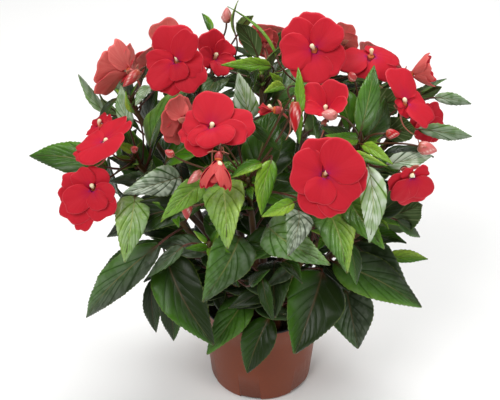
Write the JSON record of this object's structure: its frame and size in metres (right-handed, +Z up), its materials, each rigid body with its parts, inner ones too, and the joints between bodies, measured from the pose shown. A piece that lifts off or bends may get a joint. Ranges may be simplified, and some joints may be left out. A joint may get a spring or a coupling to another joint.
{
  "type": "potted new guinea impatiens",
  "caption": "New Guinea impatiens in full red flower: branching leafy stems, pointed leaves, lapping petals and buds, standing in a thin tapered nursery pot.",
  "frame": {"origin": "centre of the pot's underside", "axes": "+Z up, the plant's best side faces -Y, +X to the right as one looks at that side"},
  "size_m": [0.3912, 0.3236, 0.3979],
  "materials": {
    "pot": "thin moulded polypropylene, terracotta outside, black inside and on the lip, satin",
    "soil": "crumbly dark peat mix",
    "leafy_stem": "waxy green leaves with sunken veins on red-brown stems",
    "petal": "soft red petals with a fine velvety sheen, paler behind",
    "bud": "smooth pink to red buds"
  },
  "bodies": {
    "root": {"bloom_back_left": "petal", "bloom_back_middle": "petal", "bloom_back_right": "petal", "bloom_behind_left": "petal", "bloom_behind_right": "petal", "bloom_centre": "petal", "bloom_centre_behind": "petal", "bloom_crown_left": "petal", "bloom_crown_middle": "petal", "bloom_crown_right": "petal", "bloom_far_left": "petal", "bloom_far_right": "petal", "bloom_front": "petal", "bloom_half_open": "petal", "bloom_hanging": "petal", "bloom_left": "petal", "bloom_left_behind": "petal", "bloom_low_left": "petal", "bloom_low_right": "petal", "bloom_opening": "petal", "bloom_right": "petal", "bloom_right_behind": "petal", "bloom_shoulder": "petal", "bloom_top_back": "petal", "bud_front_dark": "bud", "bud_front_low": "bud", "bud_front_pale": "bud", "bud_left_red": "bud", "bud_left_small": "bud", "bud_left_whorl": "bud", "bud_peak_pale": "bud", "bud_right_dark": "bud", "bud_right_high": "bud", "bud_right_pale": "bud", "bud_right_pointing": "bud", "leafy_stem_back": "leafy_stem", "leafy_stem_back_left": "leafy_stem", "leafy_stem_back_right": "leafy_stem", "leafy_stem_crown": "leafy_stem", "leafy_stem_far_left": "leafy_stem", "leafy_stem_far_right": "leafy_stem", "leafy_stem_front": "leafy_stem", "leafy_stem_left": "leafy_stem", "leafy_stem_left_front": "leafy_stem", "leafy_stem_low_front_left": "leafy_stem", "leafy_stem_low_front_right": "leafy_stem", "leafy_stem_right": "leafy_stem", "leafy_stem_right_front": "leafy_stem", "leafy_stem_top_left": "leafy_stem", "leafy_stem_top_right": "leafy_stem", "pot": "pot", "soil": "soil"}
  },
  "joints": []
}
